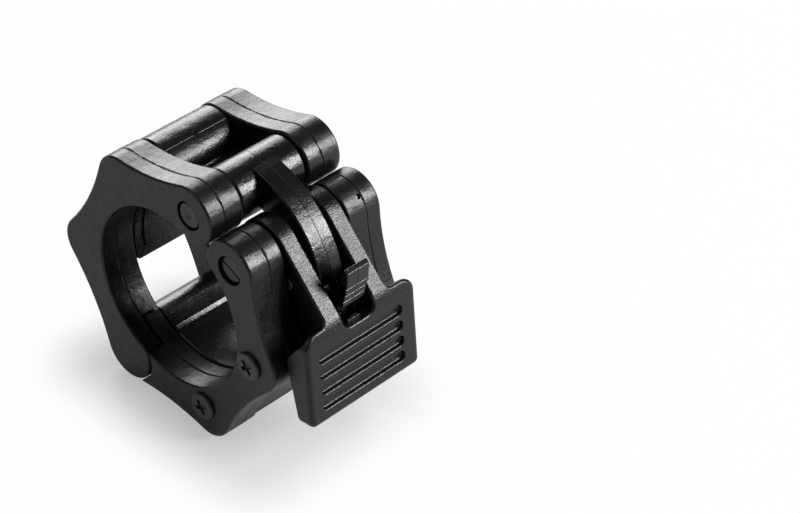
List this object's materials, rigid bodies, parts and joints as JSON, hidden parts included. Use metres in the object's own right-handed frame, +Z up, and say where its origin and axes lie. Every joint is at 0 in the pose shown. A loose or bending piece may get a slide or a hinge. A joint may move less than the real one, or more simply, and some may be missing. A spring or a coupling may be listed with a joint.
{
  "type": "barbell collar",
  "caption": "Clamp-on barbell collar: hinged jaws drawn shut round a 50 mm bar sleeve by a swing lever and toggle link, held by a thumb release tab",
  "frame": {"origin": "under the middle of the collar's box, on the surface that its two lower lobes stand on", "axes": "+Z up, X across the jaws with the lever at +X, Y along the bar sleeve with the pin ends facing -Y"},
  "size_m": [0.0874, 0.0454, 0.075],
  "materials": {
    "satin_black_nylon": "satin moulded black nylon, fine spark-eroded faces",
    "smooth_black_nylon": "smooth moulded black nylon with streaky highlights",
    "black_steel": "black oxide steel pin and screw ends",
    "spring_steel": "drawn spring wire"
  },
  "bodies": {
    "clasp_jaw": {"clasp_front_plate": "satin_black_nylon", "clasp_rear_plate": "satin_black_nylon", "clasp_body": "smooth_black_nylon", "clasp_screw_front_upper": "black_steel", "clasp_screw_front_lower": "black_steel", "clasp_screw_rear_upper": "black_steel", "clasp_screw_rear_lower": "black_steel", "lever_pin": "black_steel", "hinge_pin": "black_steel"},
    "back_jaw": {"back_front_plate": "satin_black_nylon", "back_rear_plate": "satin_black_nylon", "back_saddle": "smooth_black_nylon", "link_pin": "black_steel", "hinge_sleeve": "smooth_black_nylon"},
    "lever": {"lever": "smooth_black_nylon", "toggle_pin": "black_steel", "latch_pin": "black_steel", "latch_spring": "spring_steel"},
    "link": {"link": "smooth_black_nylon"},
    "release_tab": {"release_tab": "smooth_black_nylon"}
  },
  "joints": [
    {"name": "lever_swing", "type": "hinge", "parent": "clasp_jaw", "child": "lever", "pos_m": [0.01821, 0, 0.05864], "axis": [0, -1, 0], "range_deg": [0, 80]},
    {"name": "jaw_hinge", "type": "hinge", "parent": "clasp_jaw", "child": "back_jaw", "pos_m": [-0.02041, 0, 0.0083], "axis": [0, -1, 0], "range_deg": [0, 3.9]},
    {"name": "link_swing", "type": "hinge", "parent": "lever", "child": "link", "pos_m": [0.02626, 0, 0.05322], "axis": [0, -1, 0], "range_deg": [-54, 0]},
    {"name": "latch_press", "type": "hinge", "parent": "lever", "child": "release_tab", "pos_m": [0.03394, 0, 0.04537], "axis": [0, -1, 0], "range_deg": [0, 7], "stiffness_Nm_per_rad": 0.05}
  ],
  "couplings": [
    {"joint": "jaw_hinge", "follows": "lever_swing", "ratio": 0.0482},
    {"joint": "link_swing", "follows": "lever_swing", "ratio": -0.6724}
  ]
}
